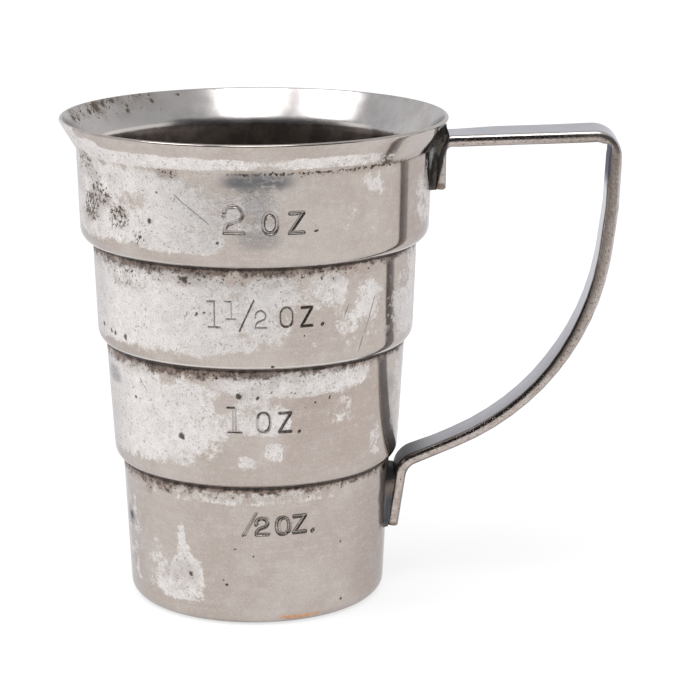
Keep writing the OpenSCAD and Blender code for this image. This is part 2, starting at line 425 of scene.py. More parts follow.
# Scratches: from degrees and height, to degrees and height
SCRATCHES = (
    (-24, 55.8, -20.2, 54.6), (-20.4, 54.7, -16.2, 53.5), (-16.5, 53.6, -12.5, 52.3),
    (42.5, 37.4, 47, 41.2), (44, 38.6, 48, 42.4), (40, 35.2, 42, 37.2), (33, 39.5, 35.5, 41.6),
    (-48, 31.4, -44, 29.8),
)
# Where the plate is worn through to copper on the base's edge
COPPER_ENDS = ((11, 1), (30, 1))


def patched(degrees, height, patches):
    """The strongest of some soft-edged patches at each place."""
    field = np.zeros(len(degrees))
    for first, last, low, high, amount in patches:
        across = abs(degrees - (first + last) / 2) / ((last - first) / 2)
        up = abs(height - (low + high) / 2) / ((high - low) / 2)
        reach = (across ** 3 + up ** 3) ** (1 / 3)
        field = np.maximum(field, amount * smooth(reach, 1.35, 0.65))
    return field


# Building meshes

def add_object(name, data):
    added = bpy.data.objects.new(name, data)
    bpy.context.scene.collection.objects.link(added)
    return added


def add_mesh(name, vertices, faces, material):
    mesh = bpy.data.meshes.new(name)
    mesh.from_pydata(vertices, [], faces)
    mesh.materials.append(material)
    return add_object(name, mesh)


def add_piece(name, vertices, faces, fields, material, node):
    """A smooth mesh in metres with its fields, standing for a CAD node."""
    piece = add_mesh(name, (np.asarray(vertices) * MM).tolist(), faces, material)
    for field, values in fields.items():
        layer = piece.data.attributes.new(field, "FLOAT", "POINT")
        layer.data.foreach_set("value", np.asarray(values, np.float32))
    piece.data.shade_smooth()
    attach(piece, "root")
    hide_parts(node)


def skin(rings, size):
    """Faces of a tube of rings of the same number of points, closed at its ends."""
    faces = []
    for row in range(rings - 1):
        for k in range(size):
            a = row * size + k
            b = row * size + (k + 1) % size
            faces.append((a, b, b + size, a + size))
    faces.append(tuple(reversed(range(size))))
    faces.append(tuple(range((rings - 1) * size, rings * size)))
    return faces


def uneven(angle, radius, height):
    """How far a spun and much-handled cup is out of true round; nothing at its axis."""
    sway = np.clip(radius / 10, 0, 1) * (0.6 + 0.4 * height / LIP_Z)
    return sway * (
        0.025 * np.cos(2 * angle + 0.8)
        + 0.015 * np.cos(3 * angle - 0.5 + 0.03 * height)
        + 0.008 * np.cos(5 * angle + 0.09 * height)
        + 0.005 * np.cos(9 * angle - 0.21 * height)
    )


def cup_mesh():
    """Angle, radius, height and side (1 is the inside) of the cup's points, and its faces."""
    rings = np.vstack([OUTER_LINE, INNER_LINE[1:]])[1:-1]
    outer_rings = len(OUTER_LINE) - 1
    step = 2 * np.pi / COLUMNS
    angles = step * np.arange(COLUMNS) - np.pi
    angle = list(np.tile(angles, len(rings)))
    radius = list(rings[:, 0].repeat(COLUMNS))
    height = list(rings[:, 1].repeat(COLUMNS))
    inside = list((np.arange(len(rings)) >= outer_rings).repeat(COLUMNS).astype(float))
    faces = []
    edges = {}
    shares = [k / MARK_CUTS for k in range(1, MARK_CUTS)]

    # Cells close to a stroke are cut finely, so that the groove is real
    middles = (rings[1:] + rings[:-1]) / 2
    cells = np.column_stack([
        np.outer(middles[:, 0], angles + step / 2).ravel(),
        middles[:, 1].repeat(COLUMNS),
    ])
    fine = np.zeros(len(cells), bool)
    for stroke, (half, *_) in struck_strokes():
        fine |= nearest(cells, stroke) < MARK_MARGIN + MARK_SPREAD * half
    fine = fine.reshape(len(rings) - 1, COLUMNS)
    fine[outer_rings - 1:] = False

    def corner(row, column):
        return row * COLUMNS + column % COLUMNS

    def add_vertex(row, column, up, along):
        r, z = rings[row] + (rings[row + 1] - rings[row]) * up
        angle.append(angles[column] + step * along)
        radius.append(r)
        height.append(z)
        inside.append(0.0)
        return len(angle) - 1

    def edge(row, column, upward):
        """The points that cut one edge of the grid, made once for the two cells that share it."""
        key = (row, column % COLUMNS, upward)
        if key not in edges:
            places = [(share, 0) if upward else (0, share) for share in shares]
            edges[key] = [add_vertex(row, key[1], *place) for place in places]
        return edges[key]

    for row, column in np.argwhere(fine):
        low, high = (edge(row + k, column, False) for k in (0, 1))
        left, right = (edge(row, column + k, True) for k in (0, 1))
        block = [[corner(row, column), *low, corner(row, column + 1)]]
        for up, first, last in zip(shares, left, right):
            block.append([first, *(add_vertex(row, column, up, along) for along in shares), last])
        block.append([corner(row + 1, column), *high, corner(row + 1, column + 1)])
        for below, above in zip(block, block[1:]):
            faces += zip(below, below[1:], above[1:], above)

    for row, column in np.argwhere(~fine):
        beside = (column + 1) % COLUMNS
        faces.append((
            corner(row, column), *edges.get((row, column, False), ()),
            corner(row, beside), *edges.get((row, beside, True), ()),
            corner(row + 1, beside), *edges.get((row + 1, column, False), ())[::-1],
            corner(row + 1, column), *edges.get((row, column, True), ())[::-1],
        ))

    # The middles of the base's underside and of the floor inside
    base = len(angle)
    floor = base + 1
    angle += [0.0, 0.0]
    radius += [0.0, 0.0]
    height += [0.0, WALL]
    inside += [0.0, 1.0]
    top_row = len(rings) - 1
    for column in range(COLUMNS):
        faces.append((base, corner(0, column + 1), corner(0, column)))
        faces.append((floor, corner(top_row, column), corner(top_row, column + 1)))
    return np.array([angle, radius, height, inside]), faces


def make_cup(material):
    (angle, radius, height, inside), faces = cup_mesh()
    outside = 1 - inside
    degrees = np.degrees(angle)

    def worn(patches):
        return patched(degrees, height, patches)

    marked = (inside == 0) & (abs(angle) < MARK_ANGLE) & (height > MARK_LOW)
    depth = np.zeros(len(angle))
    stamp = np.zeros(len(angle))
    depth[marked], stamp[marked] = press_marks(np.column_stack([radius * angle, height])[marked])
    out = radius - depth + uneven(angle, radius, height)
    vertices = np.column_stack([out * np.sin(angle), -out * np.cos(angle), height])
    around = smooth(abs(degrees), BACK_FROM, BACK_TO)
    drifts = np.sin(5 * angle + 0.12 * height) * np.cos(0.33 * height + 2 * angle)
    plate = worn(SURVIVING_PLATE) - worn(RUBBED)
    back_plate = around * patched(0 * degrees, height, BACK_PLATE) * (0.66 + 0.3 * drifts)
    pits = np.maximum(worn(PITTED), 0.2 * around)
    fields = {
        "plate": outside * np.maximum(plate, back_plate),
        "pits": outside * pits + inside * worn(INNER_PITTED),
        "dark_reflection": outside * worn(DARK_REFLECTION_PATCHES),
        "dull_and_shade": outside * worn(DULLED_AND_SHADED),
        "inner_highlight": inside * worn(INNER_HIGHLIGHTS),
        "stamp": stamp,
        "inside": inside,
    }
    add_piece("cup_shell", vertices, faces, fields, material, "cup")


STRAP_LINE = outline(moved_left(STRAP_CORNERS, STRAP_T / 2), spacing=0.8, turn=5.0)
STRAP_RUN = np.concatenate([[0], np.cumsum(np.linalg.norm(np.diff(STRAP_LINE, axis=0), axis=1))])
STRAP_LENGTH = STRAP_RUN[-1]
# How far the strap's far edge is rolled outwards, at distances along it
STRAP_ROLL = ((8, 0), (13, 0.28), (22, 0.15), (32, 0), (40, 0.22), (61, 0.3), (70, 0.2), (77, 0.2), (82, 0))
# How much thicker its inner side is: more where it is gripped, less in the corner's angle
# and at the upper foot
STRAP_SWELL = (
    (30, 0), (40, 0.2), (59, 0.2), (60.4, 0.15), (61.4, 0), (62.4, -0.45), (63.4, -0.05), (66, 0),
    (82, 0), (86, -0.16),
)


def strap_section():
    """The strap's section as (through, across, edge), counter-clockwise: flat faces, half-oval edges."""
    half = STRAP_T / 2 + STRAP_PLATING
    flat = STRAP_W / 2 + STRAP_EDGE_PLATING - STRAP_OVAL
    hold = flat - 0.2
    points = []
    for side in (1, -1):
        points.append((side * half, side * hold, 0.0))
        for a in np.radians(np.linspace(0, 180, 15)):
            points.append((side * half * math.cos(a), side * (flat + STRAP_OVAL * math.sin(a)), math.sin(a)))
        points.append((-side * half, side * hold, 0.0))
    return points


def make_handle(material):
    ahead = np.gradient(STRAP_LINE, axis=0)
    ahead /= np.linalg.norm(ahead, axis=1)[:, None]
    section = strap_section()
    vertices = []
    along = []
    edge = []
    inner = []

    def ring(place, inset):
        """One ring of the strap at a distance along it."""
        x, z = (np.interp(place, STRAP_RUN, STRAP_LINE[:, k]) for k in (0, 1))
        t = unit(np.array([np.interp(place, STRAP_RUN, ahead[:, k]) for k in (0, 1)]))
        n = left_of(t)
        # The strap wanders a little sideways
        wander = 0.03 * math.sin(place / 9) + 0.015 * math.sin(place / 3.1 + 1)
        roll = np.interp(place, *np.transpose(STRAP_ROLL))
        swell = np.interp(place, *np.transpose(STRAP_SWELL))
        for through, across, oval in section:
            inner.append(through / (STRAP_T / 2))
            through = through * (1 - inset / (STRAP_T / 2)) - roll * (across / STRAP_W + 0.5)
            through += swell * max(0.0, inner[-1])
            across = across * (1 - inset / (STRAP_W / 2))
            vertices.append((x + n[0] * through, across + wander, z + n[1] * through))
            along.append(place)
            edge.append(oval)

    # The cut ends are eased by shrinking rings
    turns = np.radians((0, 30, 60, 90))
    eased = [(STRAP_END_ROUND * (1 - math.cos(a)), STRAP_END_ROUND * (1 - math.sin(a))) for a in turns]
    clear = 1.2 * STRAP_END_ROUND
    for back, inset in eased:
        ring(back, inset)
    for place in STRAP_RUN:
        if clear < place < STRAP_LENGTH - clear:
            ring(place, 0)
    for back, inset in reversed(eased):
        ring(STRAP_LENGTH - back, inset)
    faces = skin(len(vertices) // len(section), len(section))
    fields = {"along": along, "edge": edge, "inner": inner}
    add_piece("strap_handle", vertices, faces, fields, material, "handle")


def make_solder(name, material, node, levels, seed):
    """Solder run between the cup's wall and a foot, hollow at each side of the strap.

    Each level is its height, its reach from the cup's axis, and how far past the strap's edge it runs.
    """
    rows = 44
    waves = 6
    sunk = 0.06
    lap = 0.05
    half = STRAP_W / 2
    heights, reaches, runs = np.array(levels, float).T
    lumps = np.random.default_rng(seed).uniform(0, 2 * np.pi, waves)
    wall_share = np.linspace(1, -1, 15)[1:-1]
    vertices = []
    rise = []
    beside = []
    for z in np.linspace(heights[0], heights[-1], rows):
        r = float(wall_radius(z)) - sunk
        wave = sum(math.sin((k + 1) * 1.3 * z + lumps[k]) / (k + 2) for k in range(waves))
        out = max(np.interp(z, heights, reaches) + 0.03 * wave, r + 0.02)
        run = np.interp(z, heights, runs) * (1 + 0.08 * wave)
        toe_y = half + run
        toe = np.array([math.sqrt(r * r - toe_y * toe_y), toe_y])
        top = np.array([out, half - lap])
        knee = np.array([0.25 * top[0] + 0.75 * toe[0], half + 0.25 * run])
        arc = curve(top, knee, toe, count=12)
        spread = math.asin(toe_y / r) * wall_share
        behind = (r - 0.1) * np.column_stack([np.cos(spread), np.sin(spread)])
        loop = np.vstack([arc, behind, arc[::-1] * (1, -1)])
        vertices += [(x, y, z) for x, y in loop]
        rise += [(z - heights[0]) / (heights[-1] - heights[0])] * len(loop)
        beside += [max(0.0, abs(y) - half) / run for x, y in loop]
    fields = {"rise": rise, "beside": beside}
    add_piece(name, vertices, skin(rows, len(loop)), fields, material, node)


# Finishes

class Value:
    """A socket of one finish; sums written on it become Math nodes."""

    def __init__(self, finish, socket):
        self.finish = finish
        self.socket = socket

    def math(self, operation, first, second):
        return self.finish.node("Math", {0: first, 1: second}, operation=operation)

    def __add__(self, other):
        return self.math("ADD", self, other)

    __radd__ = __add__

    def __sub__(self, other):
        return self.math("SUBTRACT", self, other)

    def __rsub__(self, other):
        return self.math("SUBTRACT", other, self)

    def __mul__(self, other):
        return self.math("MULTIPLY", self, other)

    __rmul__ = __mul__

    def over(self, other):
        """The larger of two values."""
        return self.math("MAXIMUM", self, other)


class Finish:
    """The nodes of a material or of the world."""

    def __init__(self, name, world=False):
        shelf = bpy.data.worlds if world else bpy.data.materials
        self.owner = shelf.new(name)
        self.owner.use_nodes = True
        self.tree = self.owner.node_tree
        self.tree.nodes.clear()

    def node(self, kind, sockets=None, output=0, **settings):
        """Adds a shader node, sets it up, fills its sockets with values or links, and gives one output."""
        node = self.tree.nodes.new("ShaderNode" + kind)
        for name, value in settings.items():
            setattr(node, name, value)
        for key, value in (sockets or {}).items():
            if isinstance(value, Value):
                self.tree.links.new(value.socket, node.inputs[key])
            else:
                node.inputs[key].default_value = value
        return Value(self, node.outputs[output]) if node.outputs else None

    def vector(self, operation, sockets, output=0):
        return self.node("VectorMath", sockets, output, operation=operation)

    def place(self):
        """The place on the piece in millimetres."""
        spot = self.node("TexCoord", output="Object")
        return self.vector("SCALE", {0: spot, "Scale": 1 / MM})

    def part(self, place, axis):
        return self.node("SeparateXYZ", {0: place}, axis)

    def stretched(self, place, *factors):
        return self.vector("MULTIPLY", {0: place, 1: factors})

    def shaken(self, place, size, amount):
        """The place moved by noise, up to half the amount each way."""
        noise = self.node("TexNoise", {"Vector": place, "Scale": 1 / size, "Detail": 3.0}, "Color")
        moved = self.vector("MULTIPLY_ADD", {0: noise, 1: (amount, amount, amount), 2: place})
        half = amount / 2
        return self.vector("SUBTRACT", {0: moved, 1: (half, half, half)})

    def noise(self, place, size, detail=4.0, roughness=0.6):
        """Cloudy noise around a half, with features about size millimetres wide."""
        sockets = {"Vector": place, "Scale": 1 / size, "Detail": detail, "Roughness": roughness}
        return self.node("TexNoise", sockets)

    def field(self, name):
        return self.node("Attribute", output="Fac", attribute_name=name)

    def ramp(self, value, low, high):
        """0 at low, 1 at high."""
        if low > high:
            return 1 - self.ramp(value, high, low)
        sockets = {"Value": value, "From Min": low, "From Max": high}
        return self.node("MapRange", sockets, interpolation_type="SMOOTHSTEP")

    def mix(self, share, first, second):
        """From the first colour to the second as share goes from 0 to 1."""
        first, second = ((*c, 1) if isinstance(c, tuple) else c for c in (first, second))
        return self.node("Mix", {0: share, 6: first, 7: second}, 2, data_type="RGBA")

    def blend(self, share, first, second):
        """The same between two numbers or values."""
        return first + share * (second - first)

    def bump(self, height, depth):
        """A normal from a height, whose full range is depth millimetres."""
        return self.node("Bump", {"Height": height, "Distance": depth * MM})

    def distance(self, place, point):
        return self.vector("DISTANCE", {0: place, 1: tuple(point)}, "Value")

    def sliver(self, place, start, end, half):
        """1 on a thin pointed strip from start to end, with this half width at its middle."""
        length = float(np.linalg.norm(end - start))
        detour = self.distance(place, start) + self.distance(place, end) - length
        edge = 2 * half * half / length
        return self.ramp(detour, edge, 0.3 * edge)

    def surface(self, sockets):
        shader = self.node("BsdfPrincipled", sockets)
        self.node("OutputMaterial", {"Surface": shader})
        return self.owner


# Colours as linear red, green and blue; a pair is mixed by noise or by direction
BARE_METAL = ((0.44, 0.382, 0.344), (0.495, 0.443, 0.408))
FROST = ((0.76, 0.715, 0.69), (0.92, 0.88, 0.855))
BROWN_DIRT = ((0.075, 0.05, 0.04), (0.35, 0.25, 0.205))
PIT_DIRT = ((0.045, 0.03, 0.02), (0.15, 0.1, 0.07))
CRUST_AND_SHADE = ((0.034, 0.027, 0.022), (0.115, 0.088, 0.072))
FLUX = ((0.04, 0.042, 0.05), (0.11, 0.085, 0.07))
COPPER = ((0.5, 0.25, 0.13), (0.6, 0.37, 0.24))
LINING = ((0.44, 0.42, 0.408), (0.54, 0.52, 0.51))
THROAT_TARNISH_AND_SHADE = ((0.1, 0.082, 0.07), (0.18, 0.142, 0.12))
STRAP_FACE = ((0.47, 0.47, 0.482), (0.53, 0.53, 0.542))
STRAP_WORN = ((0.4, 0.34, 0.308), (0.53, 0.466, 0.432))
BLACK_FLUX = ((0.016, 0.016, 0.015), (0.085, 0.074, 0.062))
GREY_SOLDER = ((0.045, 0.048, 0.055), (0.14, 0.14, 0.145))
FLOOR_PAPER = ((0.33, 0.33, 0.33), (0.35, 0.35, 0.35))
SKY_SIDES = ((0.78, 0.8, 0.84), (0.72, 0.73, 0.76))
DULL_SHADED_METAL = (0.385, 0.31, 0.272)
BRUSHED = (0.58, 0.54, 0.51)
GREY_FROST = (0.64, 0.61, 0.595)
PALE_DUST = (0.93, 0.9, 0.88)
DARK_DUST = (0.3, 0.26, 0.235)
HAIR_BROWN = (0.2, 0.155, 0.125)
FRECKLE = (0.2, 0.165, 0.145)
DARK_REFLECTION_BLUE = (0.135, 0.136, 0.145)
BROWN_HAZE = (0.27, 0.2, 0.155)
FLOOR_REFLECTION_COLOUR = (0.88, 0.865, 0.85)
SCRATCH = (0.14, 0.11, 0.095)
MARK_DIRT = (0.055, 0.042, 0.036)
DEEP_LINING = (0.3, 0.27, 0.25)
HIGHLIGHT_LINE_COLOUR = (0.88, 0.8, 0.72)
LINING_HAZE = (0.2, 0.15, 0.115)
STRAP_SHADE = (0.2, 0.195, 0.2)
THIN_SOOT = (0.15, 0.145, 0.14)
NAVY = (0.07, 0.085, 0.16)
BURNT = (0.27, 0.155, 0.075)
FOOT_PAINTED_LIGHT = (0.85, 0.77, 0.71)
END_DIRT = (0.17, 0.11, 0.075)
AMBER = (0.36, 0.22, 0.12)
GRIME = (0.16, 0.115, 0.085)
SPECK = (0.1, 0.078, 0.06)
SOOT_AND_SHADE = (0.02, 0.018, 0.016)
REFLECTED_RUN = (0.4, 0.4, 0.41)
TAN = (0.16, 0.136, 0.12)
UMBER = (0.075, 0.05, 0.038)
SHADE_BLACK = (0.008, 0.007, 0.006)
SKY_BEHIND = (1, 1, 1)
SKY_TOP = (0.68, 0.68, 0.69)


def any_of(values):
    """The largest of several values."""
    return reduce(Value.over, values)


def worn_plate():
    """Silver plate, frosted where it survives, worn by rubbing to smooth metal elsewhere, with tarnish and
    painted shade in the creases, and painted reflections and highlights.
    """
    f = Finish("worn_silver_plate")
    place = f.place()
    height = f.part(place, "Z")
    sideways = f.part(place, "X")
    broad = f.noise(place, 8.0, 3.0)
    cloudy = f.noise(place, 2.6, 5.0, 0.62)
    ragged = f.noise(place, 1.0, 6.0, 0.7)
    grain = f.noise(place, 0.32, 3.0, 0.65)
    speck = f.noise(place, 0.42, 3.0, 0.7)
    dust = f.noise(place, 0.17, 2.0, 0.7)
    brushed = f.noise(f.stretched(place, 0.22, 0.22, 1.7), 1.0, 5.0, 0.7)
    # The same noises about zero push edges to and fro
    sway = cloudy - 0.5
    tear = ragged - 0.5
    grit = grain - 0.5
    inside = f.field("inside")
    outside = 1 - inside
    pitted = f.field("pits")

    edge = f.field("plate") + sway * 1.1 + tear * 0.8 + grit * 0.45
    plated = f.ramp(edge, 0.39, 0.65) * outside
    bare = f.mix(f.ramp(broad, 0.35, 0.65), *BARE_METAL)
    # Painted shade with dull tarnish: bare metal darker and browner, mostly on the handle's side
    bare = f.mix(f.field("dull_and_shade") * 0.6, bare, DULL_SHADED_METAL)
    bare = f.mix(f.ramp(brushed + tear, 0.45, 0.75) * 0.3, bare, BRUSHED)
    frosted = f.mix(f.ramp(ragged, 0.3, 0.7), *FROST)
    frosted = f.mix(f.ramp(broad + sway * 0.6, 0.52, 0.72) * 0.36, frosted, GREY_FROST)
    colour = f.mix(plated, bare, frosted)
    colour = f.mix(f.ramp(dust, 0.5, 0.3) * f.blend(plated, 0.15, 0.5), colour, PALE_DUST)
    colour = f.mix(f.ramp(dust, 0.5, 0.72) * f.blend(plated, 0.22, 0.42), colour, DARK_DUST)

    # Hair-thin brown lines wander over the frost
    wander = sway.over(0 - sway)
    hairs = f.ramp(wander, 0.016, 0.006) * f.ramp(speck, 0.5, 0.62) * plated
    colour = f.mix(hairs * 0.75, colour, HAIR_BROWN)
    freckles = f.ramp(grain + pitted * 0.1, 0.66, 0.74) * f.blend(plated, 0.3, 0.75)
    colour = f.mix(freckles * outside, colour, FRECKLE)
    # Painted reflection: blue-grey patches standing for dark surroundings mirrored in the metal
    dark_reflection = f.field("dark_reflection") * f.ramp(ragged + (brushed - 0.5), 0.2, 0.55)
    colour = f.mix(dark_reflection * 0.92, colour, DARK_REFLECTION_BLUE)
    haze = pitted * f.ramp(cloudy, 0.4, 0.62)
    colour = f.mix(haze * 0.6, colour, BROWN_HAZE)

    # Under each step a dark line, part crust and part painted shade in the crease, then brown dirt in clumps,
    # deeper towards the left
    clumps = sway * 3.4 + tear * 1.8 + grit + sideways * 0.014
    lines = []
    clots = []
    floor_reflections = []
    for step, reflection_strength in zip(STEP_HEIGHTS, STEP_FLOOR_REFLECTION):
        below = step - height
        under = f.ramp(below, -0.05, 0.05)
        lines.append(under * f.ramp(below + tear * 0.6, 0.42, 0.18))
        clots.append(under * f.ramp(below + clumps, 1.2, 0.35))
        floor_reflections.append(f.ramp(below, -0.16, -0.3) * f.ramp(below, -0.64, -0.45) * reflection_strength)
    # Under the flare's crease a broken dark line: crust with painted shade
    under_flare = FLARE_Z - 0.02 - height
    broken = f.ramp(speck + tear * 1.6 + sideways * 0.01, 0.52, 0.66)
    flare_line = f.ramp(under_flare, -0.1, 0.0) * f.ramp(under_flare + clumps * 0.26, 0.32, 0.02)
    lines.append(flare_line * broken * 0.75)
    # Painted shade: a dark line along the base's bottom edge, for the contact shadow mirrored there
    lines.append(f.ramp(height, 0.24, 0.12) * 0.8)
    # Painted reflection: a light band just over each step, where each bulge's lower edge mirrors the white
    # floor
    colour = f.mix(any_of(floor_reflections), colour, FLOOR_REFLECTION_COLOUR)
    clot = any_of(clots) * outside
    brown = f.mix(f.ramp(ragged + grit * 0.9, 0.38, 0.56), *BROWN_DIRT)
    colour = f.mix(clot * 0.84, colour, brown)

    shaken = f.shaken(place, 0.6, 0.7)
    centres = [(wall_point(degrees, z), radius) for degrees, z, radius in SPOTS]
    centres += [(wall_point(degrees, z, LIP_T + 0.25), radius) for degrees, z, radius in INNER_SPOTS]
    spots = any_of(f.ramp(f.distance(shaken, c), radius * 1.15, radius * 0.5) for c, radius in centres)
    pits = f.ramp(speck + pitted * 0.26, 0.73, 0.81).over(spots)
    crust_and_shade = any_of(lines) * outside
    tarnish = f.mix(f.ramp(grain, 0.35, 0.65), *PIT_DIRT)
    colour = f.mix(pits * 0.88, colour, tarnish)
    crust_and_shade_colour = f.mix(f.ramp(ragged, 0.4, 0.6), *CRUST_AND_SHADE)
    colour = f.mix(crust_and_shade * 0.9, colour, crust_and_shade_colour)
    dirt_and_shade = pits.over(crust_and_shade).over(clot * 0.7)

    # Flux has blackened the wall beside the lower foot
    blotched = sway * 0.8 + tear * 0.5
    flux = f.ramp(sideways + blotched, 15.65, 16.1) * outside
    flux = flux * f.ramp(height + blotched * 2.4, 8.8, 9.8) * f.ramp(height + blotched * 2, 17.9, 16.7)
    fluxed = f.mix(f.ramp(cloudy + tear, 0.35, 0.65), *FLUX)
    colour = f.mix(flux * 0.92, colour, fluxed)

    shaken = f.shaken(place, 1.5, 0.25)
    scored = any_of(f.sliver(shaken, wall_point(*s[:2]), wall_point(*s[2:]), 0.1) for s in SCRATCHES)
    colour = f.mix(scored * 0.7, colour, SCRATCH)
    patchy = f.blend(f.ramp(height, 18, 16), f.ramp(grain, 0.15, 0.5), f.ramp(grain + ragged, 0.78, 0.98))
    stamp = f.field("stamp") * patchy
    colour = f.mix(stamp, colour, MARK_DIRT)
    ends = [wall_point(*end) for end in COPPER_ENDS]
    copper = f.sliver(f.shaken(place, 1.0, 0.4), *ends, 0.5)
    colour = f.mix(copper * 0.9, colour, f.mix(f.ramp(ragged, 0.4, 0.6), *COPPER))

    # Inside, the flare is clean and the throat under it tarnished and darkened with painted shade, with a
    # painted highlight line between
    lining = f.mix(f.ramp(cloudy, 0.3, 0.7), *LINING)
    # Painted shade and tarnish: the throat under the flare is coloured dark inside
    deep = f.ramp(height + tear * 0.6, FLARE_Z - 0.35, FLARE_Z - 0.75)
    throat_tarnish_and_shade = f.mix(f.ramp(cloudy, 0.4, 0.6), *THROAT_TARNISH_AND_SHADE)
    throat_tarnish_and_shade = f.mix(f.ramp(height, 53, 48), throat_tarnish_and_shade, DEEP_LINING)
    lining = f.mix(deep * 0.9, lining, throat_tarnish_and_shade)
    # Painted highlight: a bright line along the inner crease
    painted_highlight_line = f.field("inner_highlight") * f.ramp(height, FLARE_Z - 0.6, FLARE_Z - 0.45)
    painted_highlight_line = painted_highlight_line * f.ramp(height, FLARE_Z, FLARE_Z - 0.2)
    lining = f.mix(painted_highlight_line * 0.7, lining, HIGHLIGHT_LINE_COLOUR)
    lining = f.mix(haze * 0.75, lining, LINING_HAZE)
    colour = f.mix(inside * (1 - pits), colour, lining)

    polish = f.ramp(sideways, 12.5, 16) * 0.04
    rough = 0.14 + sway * 0.08 - polish + inside * 0.085 + deep * inside * 0.12
    for share, roughness in ((plated, 0.42), (dirt_and_shade, 0.6), (stamp, 0.5), (flux, 0.5)):
        rough = f.blend(share, rough, roughness)
    relief = plated * 0.3 + grain * plated * 0.3 + grain * 0.08 + brushed * 0.03 - dirt_and_shade * 0.6 - scored * 0.5
    return f.surface({
        "Base Color": colour,
        "Metallic": 1 - 0.7 * dirt_and_shade.over(flux) - 0.1 * plated,
        "Roughness": rough,
        "Specular Tint": (0.76, 0.76, 0.78, 1),
        "Normal": f.bump(relief, 0.012),
    })


def strap_plate():
    """The strap's smooth plate, worn to beige metal along its edges and sooty at the feet, with painted shade
    in its lower bend and painted light on its upper foot.
    """
    f = Finish("strap_silver_plate")
    place = f.place()
    broad = f.noise(place, 6.0, 3.0)
    ragged = f.noise(place, 1.1, 5.0, 0.66)
    grain = f.noise(place, 0.3, 4.0, 0.7)
    dust = f.noise(place, 0.17, 2.0, 0.7)
    tear = ragged - 0.5
    along = f.field("along")
    from_top = STRAP_LENGTH - along
    inner = f.field("inner")
    edge = f.field("edge") + tear * 0.2
    on_edge = f.ramp(edge, 0.6, 0.85)
    on_grip = f.ramp(along, 22, 36) * f.ramp(along, 76, 62)
    face = f.mix(f.ramp(broad, 0.35, 0.65), *STRAP_FACE)
    lower_soot = f.ramp(along + tear * 6, 27, 10)
    near_side = f.ramp(f.part(place, "Y") + tear * 2, 1.5, -2.5)
    face = f.mix(f.ramp(along, 44, 34) * near_side * 0.4, face, STRAP_SHADE)
    face = f.mix(lower_soot * 0.5, face, THIN_SOOT)
    navy = f.ramp(along + tear * 3, 56, 58.5) * f.ramp(along, 63, 62) * f.ramp(inner, 0.4, 0.9)
    face = f.mix(navy * 0.85, face, NAVY)
    worn = f.mix(f.ramp(ragged, 0.36, 0.64), *STRAP_WORN)
    mottle = f.ramp(grain + (dust - 0.5) * 0.8, 0.48, 0.62) * f.blend(on_grip, 0.3, 0.6)
    worn = f.mix(mottle, worn, HAIR_BROWN)
    burnt = f.ramp(along + tear, 3.2, 4.2) * f.ramp(along, 6.6, 5.2) * f.ramp(inner, 0.1, 0.7)
    worn = f.mix(burnt * 0.7, worn, BURNT)
    # Painted light: the upper foot is coloured pale and made rougher, so it reads lit rather than mirroring
    # the dark card
    foot = f.ramp(from_top, 6, 4.5)
    worn = f.mix(foot * 0.7, worn, FOOT_PAINTED_LIGHT)
    worn = f.mix(f.ramp(along, 0.8, 0.3).over(f.ramp(from_top, 1.0, 0.7)) * 0.8, worn, END_DIRT)
    colour = f.mix(on_edge, face, worn)
    amber = f.ramp(edge, 0.35, 0.55) * f.ramp(edge, 0.8, 0.62) * f.ramp(ragged, 0.4, 0.6)
    colour = f.mix(amber * 0.55, colour, AMBER)
    grime = f.ramp(edge, 0.3, 0.55) * f.ramp(inner + tear * 2.4, 0.1, 0.9) * f.blend(on_grip, 0.15, 0.5)
    colour = f.mix(grime, colour, GRIME)
    specks = f.ramp(grain + on_edge * 0.1, 0.68, 0.76)
    colour = f.mix(specks * 0.75, colour, SPECK)
    height_up = from_top + tear * 1.8
    foot_x = STRAP_CORNERS[-1][0] + 0.65
    across_foot = f.part(place, "X") - foot_x
    upper_soot = f.ramp(height_up, 9.0, 6.2) * f.ramp(height_up - across_foot * 4.4, 2.2, 3.6)
    # Painted shade: the faces turn black in the throat of the lower bend, next to the cup
    throat = f.ramp(along + tear * 1.5, 6.4, 7.6) * f.ramp(along, 14.5, 8.6) * f.ramp(edge, 0.8, 0.4)
    soot_and_shade = upper_soot.over(throat)
    colour = f.mix(soot_and_shade * 0.93, colour, SOOT_AND_SHADE)
    satin = f.blend(on_edge * on_grip, 0.13, 0.34)
    matt = navy * (1 - on_edge)
    dead = matt.over(foot * 0.4).over(throat * 0.35)
    rough = satin + (grain - 0.5) * 0.08 + specks * 0.3 + soot_and_shade * 0.12 + dead * 0.5
    return f.surface({
        "Base Color": colour,
        "Metallic": 1 - soot_and_shade.over(matt) * 0.5,
        "Roughness": rough,
        "Specular Tint": (0.7, 0.7, 0.74, 1),
        "Normal": f.bump(grain * 0.4 + ragged * 0.6 - specks, 0.012),
    })


